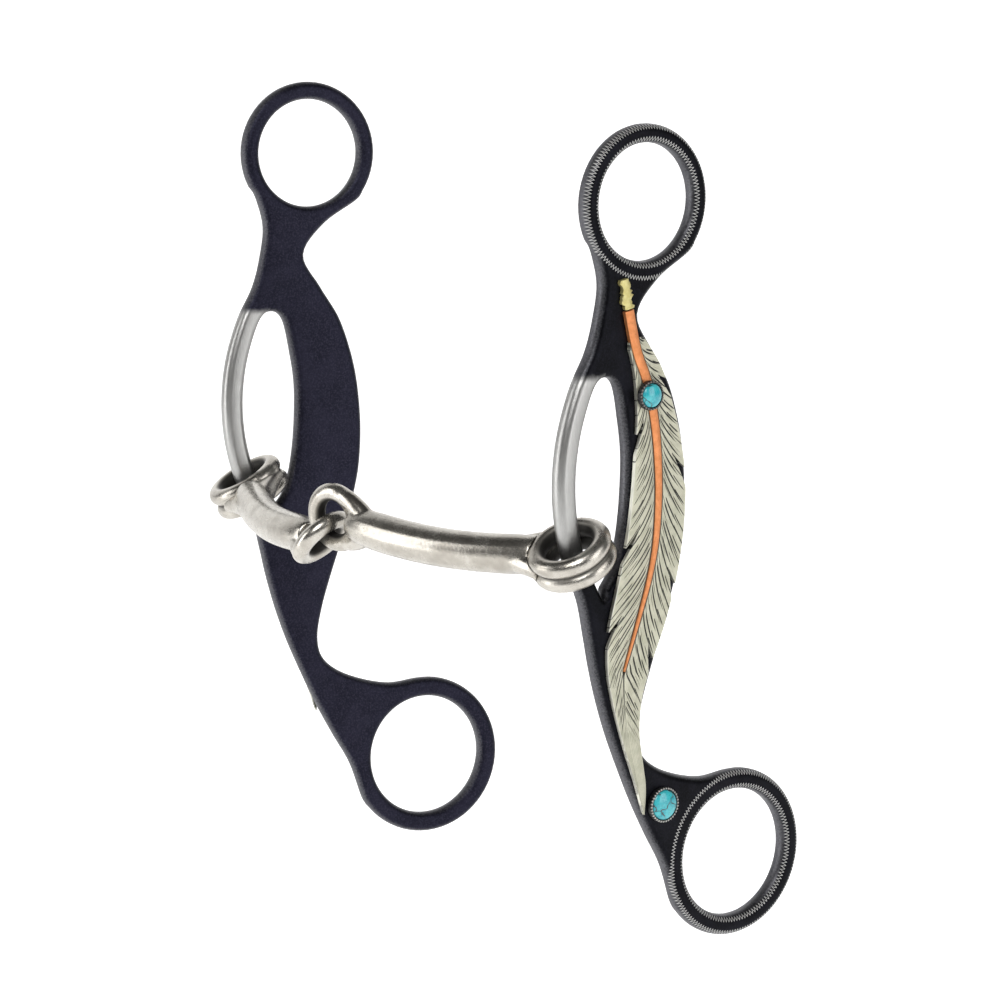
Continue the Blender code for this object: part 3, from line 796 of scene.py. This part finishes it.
def make_loop(prefix, centre, axis, toward, body, material, voxel):
    """Two turns of wire round the bar, one on the other."""
    side = (toward - axis * toward.dot(axis)).normalized()
    other = axis.cross(side)
    shape = bmesh.new()
    for rise in (LOOP_PITCH / 2, -LOOP_PITCH / 2):
        wire_ring(shape, centre + axis * rise, axis, LOOP_MEAN, LOOP_WIRE, 72, toward)
    shape = fused(prefix + "_loop", shape, voxel * 0.8, 3)
    layers = add_layers(shape)
    for vert in shape.verts:
        place = vert.co / MM - centre
        rise = place.dot(axis)
        flat_place = place - axis * rise
        reach = flat_place.length
        angle = math.atan2(flat_place.dot(other), flat_place.dot(side))
        vert[layers["flow"]] = (rise * 1.2, angle * 2.5, 0.0)
        # Painted shade on the loop's inside and in the groove between its two turns.
        inward = max(0.0, min(1.0, (LOOP_MEAN - 0.45 - reach) / 0.9))
        groove = max(0.0, 1.0 - abs(rise) / 0.55) * (1.0 if reach > LOOP_MEAN else 0.6)
        gate = 1.0 - max(0.0, math.cos(angle)) ** 6
        vert[layers["hollow_shade"]] = min(0.95, inward + groove * gate)
    finish_mesh(prefix + "_loop_look", shape, material, body, [prefix + "_bar_loop"],
                180.0)


# Overlay -----------------------------------------------------------------------------------

def quill_width(share):
    return 2.3 + (0.5 - 2.3) * share ** 2


def quill_sides(extra, first, last, count):
    """Front and rear edge of the quill between two shares of its length."""
    line = resample(smooth_line([flat(p) for p in QUILL_LINE], 12), 240)
    front, rear = [], []
    for i in range(count + 1):
        share = first + (last - first) * i / count
        k = min(int(share * 240), 239)
        place = line[k].lerp(line[k + 1], share * 240 - k)
        along = (line[min(k + 3, 240)] - line[max(k - 3, 0)]).normalized()
        across = Vector((along.y, -along.x)) * (quill_width(share) / 2 + extra)
        front.append(place + across)
        rear.append(place - across)
    return front, rear


def notch_depth(share, notches):
    """How far the vane's edge is cut back at one share of its length."""
    cut = 0.0
    for place, width, depth in notches:
        t = (share - place) / width
        if 0.0 <= t <= 1.0:
            cut = max(cut, depth * (1.0 - t))
    return cut


def make_vane(shape, layers, inner, outer, notches, lean):
    """One vane: rows are barbs, which run from the quill out and down to the edge."""
    rows, columns = VANE_ROWS, VANE_COLUMNS
    count = len(inner) - 1
    for vert, i, k in sheet(shape, rows, columns):
        share = i / rows
        fade = math.sin(math.pi * min(1.0, share * 1.04 + 0.02)) ** 0.7
        across = k / columns * (1.0 - notch_depth(share, notches))
        at = min(max(share + lean * (across ** 0.72 - 0.45) * fade, 0.0), 1.0)
        m = min(int(at * count), count - 1)
        part = at * count - m
        place = inner[m].lerp(inner[m + 1], part).lerp(outer[m].lerp(outer[m + 1], part), across)
        crown = 0.06 * math.sin(math.pi * across)
        vert.co = (FACE + SHEET - VANE_CROWN + crown, place.x, place.y)
        vert[layers["flow"]] = (share * 100.0, across,
                                min(max((share - 0.78) / 0.06, 0.0), 1.0))
        # The outer column marks the edge that gets the painted highlight.
        vert[layers["rim"]] = 0.8 if k == columns else 0.0


def make_feather(side, material):
    """Engraved overlay sheet of two vanes round the quill."""
    prefix = "near" if side > 0 else "far"
    shape = bmesh.new()
    layers = add_layers(shape)
    count = 240
    q_front, q_rear = quill_sides(0.12, 0.155, 1.0, 170)
    spine = smooth_line([q_front[-1].lerp(q_rear[-1], 0.5)] + [flat(p) for p in SPINE], 12)
    inner_front = resample(q_front[:-1] + spine[1:], count)
    inner_rear = resample(q_rear[:-1] + spine[1:], count)
    outer_front = resample(smooth_line([flat(p) for p in VANE_FRONT], 10), count)
    outer_rear = resample(smooth_line([flat(p) for p in VANE_REAR], 10), count)
    if side < 0:
        outer_front = [p.lerp(q, FAR_VANE_PULL) for p, q in zip(outer_front, inner_front)]
    make_vane(shape, layers, inner_front, outer_front, FRONT_NOTCHES, 0.115)
    make_vane(shape, layers, inner_rear, outer_rear, REAR_NOTCHES, 0.135)
    bmesh.ops.remove_doubles(shape, verts=shape.verts, dist=0.004)
    verts, _ = grow(shape, [e for e in shape.edges if e.is_boundary])
    bmesh.ops.translate(shape, verts=verts, vec=(VANE_CROWN - SHEET, 0.0, 0.0))
    place_on_cheek(shape, layers, side)
    finish_mesh(prefix + "_feather_look", shape, material, prefix + "_cheek",
                [prefix + "_feather"], 38.0)


def strip(name, side, front, rear, thick, material, nodes, ragged=0.0):
    """Narrow metal strip with a crowned top, between two edges."""
    shape = bmesh.new()
    layers = add_layers(shape)
    chance = random.Random(7)
    shakes = [((chance.random() - 0.5) * ragged, (chance.random() - 0.5) * ragged)
              for _ in front]
    top = FACE + thick
    form = ((0, FACE), (0, top - 0.16), (0.14, top - 0.02), (0.5, top + 0.06),
            (0.86, top - 0.02), (1, top - 0.16), (1, FACE))
    made = sheet(shape, len(front) - 1, len(form) - 1)
    for vert, i, k in made:
        across, height = form[k]
        shake, other = shakes[i]
        place = front[i].lerp(rear[i], across)
        place += (front[i] - rear[i]).normalized() * (shake * (1 - across) - other * across)
        vert.co = (height, place.x, place.y)
    verts = [vert for vert, _, _ in made]
    open_edges = [shape.edges.get(pair) for row in (verts[:len(front)], verts[-len(front):])
                  for pair in zip(row, row[1:])]
    bmesh.ops.bridge_loops(shape, edges=open_edges)
    bmesh.ops.holes_fill(shape, edges=[e for e in shape.edges if e.is_boundary])
    place_on_cheek(shape, layers, side)
    prefix = "near" if side > 0 else "far"
    finish_mesh(name, shape, material, prefix + "_cheek", nodes, 40.0)


def make_quill(side, copper, brass):
    prefix = "near" if side > 0 else "far"
    front, rear = quill_sides(0.0, 0.078, 0.995, 120)
    strip(prefix + "_quill_look", side, front, rear, QUILL_SHEET, copper, [prefix + "_quill"])
    front, rear = quill_sides(0.10, 0.0, 0.074, 14)
    strip(prefix + "_quill_tip_look", side, front, rear, QUILL_SHEET - 0.04, brass,
          [prefix + "_quill_tip"], 0.9)


def spun(shape, layers, centre, profile, count, teeth=0):
    """Turned form on the cheek's face from (radius, height, rim) points."""
    verts = []
    for radius, height, rim in profile:
        verts.append(shape.verts.new((height, centre.x + radius, centre.y)))
        verts[-1][layers["rim"]] = rim
    bmesh.ops.spin(shape, geom=verts + chain(shape, verts), cent=(0.0, centre.x, centre.y),
                   axis=(1.0, 0.0, 0.0), angle=math.tau, steps=count, use_merge=True)
    bmesh.ops.remove_doubles(shape, verts=shape.verts, dist=0.001)
    for vert in shape.verts:
        offset = vert.co.yz - centre
        wave = math.cos(math.atan2(offset.y, offset.x) * teeth)
        if teeth and vert[layers["rim"]] > 0:
            vert.co.yz = centre + offset * (1.0 + TOOTH_DEPTH * wave)
        # Lighter tips of the rim's teeth: painted glint.
        vert[layers["rim"]] *= 0.5 + 0.5 * wave


def make_setting(side, name, spot, radius, floor, bezel, stone, teeth, rim_glint):
    """Bezel cup with a serrated rim and a domed stone."""
    prefix = ("near_" if side > 0 else "far_") + name
    body = "near_cheek" if side > 0 else "far_cheek"
    centre = flat(spot)
    inner = radius - BEZEL_WALL
    # The rim value on the cup's top is its painted highlight.
    cup = [(0.0, floor + 0.35, 0), (inner - 0.02, floor + 0.35, 0), (inner, floor + 1.15, 0),
           (inner + 0.10, floor + 1.30, rim_glint), (radius - 0.12, floor + 1.26, rim_glint),
           (radius, floor + 1.05, 0.1 * rim_glint), (radius, floor + 0.25, 0), (radius, floor, 0),
           (0.0, floor, 0)]
    shape = bmesh.new()
    layers = add_layers(shape)
    spun(shape, layers, centre, cup, teeth * 8, teeth)
    place_on_cheek(shape, layers, side)
    finish_mesh(prefix + "_bezel_look", shape, bezel, body, [prefix + "_bezel"],
                35.0)
    fit = inner - STONE_GAP
    dome = [(0.0, floor + STONE_RISE, 0)]
    for i in range(1, 15):
        angle = math.pi / 2 * (1 - i / 14)
        dome.append((fit * math.cos(angle),
                     floor + STONE_RISE - DOME * (1 - math.sin(angle)), 0))
    dome += [(fit, floor + 0.46, 0), (0.0, floor + 0.46, 0)]
    shape = bmesh.new()
    layers = add_layers(shape)
    spun(shape, layers, centre, dome, 64)
    place_on_cheek(shape, layers, side)
    finish_mesh(prefix + "_stone_look", shape, stone, body, [prefix + "_stone"],
                60.0)


# Stage -------------------------------------------------------------------------------------

def make_backdrop(drop):
    """Pale floor that sweeps up behind the object."""
    shape = bmesh.new()
    width = 3.0
    line = [(1.6, drop)]
    line += [(-1.2 - 0.5 * math.sin(a), drop + 0.5 - 0.5 * math.cos(a))
             for a in (math.radians(9 * i) for i in range(11))]
    line += [(-1.7, drop + 2.6)]
    verts, _ = grow(shape, chain(shape, [shape.verts.new((-width, -depth, height))
                                         for depth, height in line]))
    bmesh.ops.translate(shape, verts=verts, vec=(2 * width, 0.0, 0.0))
    bmesh.ops.rotate(shape, verts=shape.verts, cent=(0.0, 0.0, 0.0),
                     matrix=Matrix.Rotation(math.radians(52.9), 3, "Z"))
    shape.normal_update()
    bmesh.ops.recalc_face_normals(shape, faces=shape.faces)
    mesh = bpy.data.meshes.new("backdrop")
    shape.to_mesh(mesh)
    shape.free()
    mesh.shade_smooth()
    finish = Finish("backdrop_look")
    finish.set("Base Color", (0.92, 0.92, 0.92))
    finish.set("Roughness", 0.9)
    finish.set("Emission Color", (1.0, 1.0, 1.0))
    finish.set("Emission Strength", 0.75)
    mesh.materials.append(finish.material)
    made = bpy.data.objects.new("backdrop", mesh)
    bpy.context.scene.collection.objects.link(made)


def add_light(name, place, aim, size, power, tint=(1.0, 1.0, 1.0)):
    light = bpy.data.lights.new(name, "AREA")
    light.shape = "RECTANGLE"
    light.size, light.size_y = size
    light.energy = power
    light.color = tint
    made = bpy.data.objects.new(name, light)
    made.location = place
    made.rotation_mode = "QUATERNION"
    made.rotation_quaternion = (Vector(place) - Vector(aim)).to_track_quat("Z", "Y")
    bpy.context.scene.collection.objects.link(made)


def make_stage(settings):
    scene = bpy.context.scene
    make_backdrop(-0.30)
    aim = (-0.06, -0.01, -0.07)
    add_light("key", (0.55, -0.75, 0.75), aim, (0.55, 0.55), settings.key_power)
    add_light("fill", (0.95, 0.35, 0.25), aim, (0.6, 0.9), settings.fill_power)
    add_light("side", (-0.55, -0.85, 0.10), aim, (0.35, 0.8), settings.fill_power * 0.7)
    world = bpy.data.worlds.new("studio")
    world.use_nodes = True
    tree = world.node_tree
    place = tree.nodes.new("ShaderNodeTexCoord")
    slope = tree.nodes.new("ShaderNodeVectorMath")
    slope.operation = "DOT_PRODUCT"
    slope.inputs[1].default_value = (0.72, 0.66, -0.20)
    shade = tree.nodes.new("ShaderNodeMapRange")
    shade.interpolation_type = "SMOOTHSTEP"
    for name, value in (("From Min", 0.3), ("From Max", 0.95), ("To Min", settings.sky),
                        ("To Max", settings.sky * 0.45)):
        shade.inputs[name].default_value = value
    tree.links.new(place.outputs["Generated"], slope.inputs[0])
    tree.links.new(slope.outputs["Value"], shade.inputs["Value"])
    tree.links.new(shade.outputs[0], tree.nodes["Background"].inputs["Strength"])
    scene.world = world
    scene.view_settings.view_transform = "Standard"
    camera = bpy.data.cameras.new("camera")
    camera.lens = 162.0
    camera.sensor_width = 36.0
    camera.clip_start, camera.clip_end = 0.05, 20.0
    made = bpy.data.objects.new("camera", camera)
    made.location = (0.72915, -0.58845, 0.10554)
    made.rotation_euler = (math.radians(90 - 10.223), 0.0, math.radians(52.916))
    scene.collection.objects.link(made)
    scene.camera = made


# Add-on ------------------------------------------------------------------------------------

class BitSettings(bpy.types.PropertyGroup):
    """Sizes and light of the bit's looks."""

    voxel: FloatProperty(name="Weld grain", description="Size of the skin's cells, in mm",
                         default=0.30, min=0.15, max=1.0)
    detail: IntProperty(name="Edge detail", description="Points along the cheek's edges",
                        default=2, min=1, max=4)
    key_power: FloatProperty(name="Key light", description="Power of the main softbox",
                             default=9.0, min=0.0, subtype="POWER", unit="POWER")
    fill_power: FloatProperty(name="Fill light", description="Power of the side softboxes",
                              default=5.0, min=0.0, subtype="POWER", unit="POWER")
    silver: FloatVectorProperty(name="Overlay", description="Colour of the overlay sheet",
                                default=(0.55, 0.54, 0.43), size=3, subtype="COLOR")
    copper: FloatVectorProperty(name="Quill", description="Colour of the copper quill",
                                default=(0.72, 0.28, 0.11), size=3, subtype="COLOR")
    brass: FloatVectorProperty(name="Quill tip", description="Colour of the brass tip",
                               default=(0.62, 0.56, 0.26), size=3, subtype="COLOR")
    stone: FloatVectorProperty(name="Stones", description="Colour of the turquoise",
                               default=(0.045, 0.43, 0.47), size=3, subtype="COLOR")
    sky: FloatProperty(name="Surround", description="Brightness of the white surround",
                       default=0.55, min=0.0)


class BIT_OT_cheeks(bpy.types.Operator):
    """Build both forged cheeks"""

    bl_idname = "bit.cheeks"
    bl_label = "Cheeks"

    def execute(self, context):
        steel = patina_finish()
        for side in (1, -1):
            make_cheek(side, steel, context.scene.bit_settings.detail)
        return {"FINISHED"}


class BIT_OT_overlays(bpy.types.Operator):
    """Build the feather overlays, quills and stones"""

    bl_idname = "bit.overlays"
    bl_label = "Overlays"

    def execute(self, context):
        settings = context.scene.bit_settings
        silver = feather_finish(settings.silver)
        copper = warm_finish("copper_look", settings.copper, (0.833, 0.768, 0.682),
                             (0.50, 0.429, 0.455))
        brass = warm_finish("brass_look", settings.brass, (0.806, 0.768, 0.615),
                            (0.484, 0.393, 0.269))
        bezel = bezel_finish()
        stone = turquoise_finish(settings.stone)
        for side in (1, -1):
            make_feather(side, silver)
            make_quill(side, copper, brass)
            # The last value sets the rim's painted highlight, weaker on the upper bezel.
            make_setting(side, "upper", UPPER_STONE, UPPER_BEZEL, FACE + 0.08 + QUILL_SHEET,
                         bezel, stone, 26, 0.35)
            make_setting(side, "lower", LOWER_STONE, LOWER_BEZEL, FACE, bezel, stone, 34, 1.0)
        return {"FINISHED"}


class BIT_OT_mouthpiece(bpy.types.Operator):
    """Build the jointed mouthpiece and its bar loops"""

    bl_idname = "bit.mouthpiece"
    bl_label = "Mouthpiece"

    def execute(self, context):
        voxel = context.scene.bit_settings.voxel
        steel = polish_finish()
        turn, origin, near_loop, joint, far_loop = far_frame()
        reach = EYE_MEAN - EYE_WIRE / 2 - EYE_GAP / 2
        for prefix, centre, along, eye, face in (
                ("near", near_loop, NEAR_TO_JOINT, joint - LINK * reach, NEAR_EYE_FACE),
                ("far", far_loop, FAR_TO_JOINT, joint + LINK * reach, FAR_EYE_FACE)):
            axis = loop_axis(along)
            make_half(prefix, centre, eye, axis, face, prefix + "_half", steel, voxel)
            make_loop(prefix, centre, axis, eye - centre, prefix + "_loop", steel, voxel)
        return {"FINISHED"}


class BIT_OT_stage(bpy.types.Operator):
    """Set up the floor, lights and camera"""

    bl_idname = "bit.stage"
    bl_label = "Stage"

    def execute(self, context):
        make_stage(context.scene.bit_settings)
        return {"FINISHED"}


class BIT_PT_panel(bpy.types.Panel):
    """Sidebar panel of the bit"""

    bl_idname = "BIT_PT_panel"
    bl_label = "Loose-Cheek Bit"
    bl_space_type = "VIEW_3D"
    bl_region_type = "UI"
    bl_category = "Bit"

    def draw(self, context):
        settings = context.scene.bit_settings
        for name in ("voxel", "detail", "silver", "copper", "brass", "stone", "key_power",
                     "fill_power", "sky"):
            self.layout.prop(settings, name)
        for operator in ("bit.cheeks", "bit.overlays", "bit.mouthpiece", "bit.stage"):
            self.layout.operator(operator)


CLASSES = (BitSettings, BIT_OT_cheeks, BIT_OT_overlays, BIT_OT_mouthpiece, BIT_OT_stage,
           BIT_PT_panel)


def register():
    for made in CLASSES:
        bpy.utils.register_class(made)
    bpy.types.Scene.bit_settings = PointerProperty(type=BitSettings)


def unregister():
    del bpy.types.Scene.bit_settings
    for made in reversed(CLASSES):
        bpy.utils.unregister_class(made)


def main():
    register()
    bpy.ops.bit.cheeks()
    bpy.ops.bit.overlays()
    bpy.ops.bit.mouthpiece()
    bpy.ops.bit.stage()


if __name__ == "__main__":
    main()
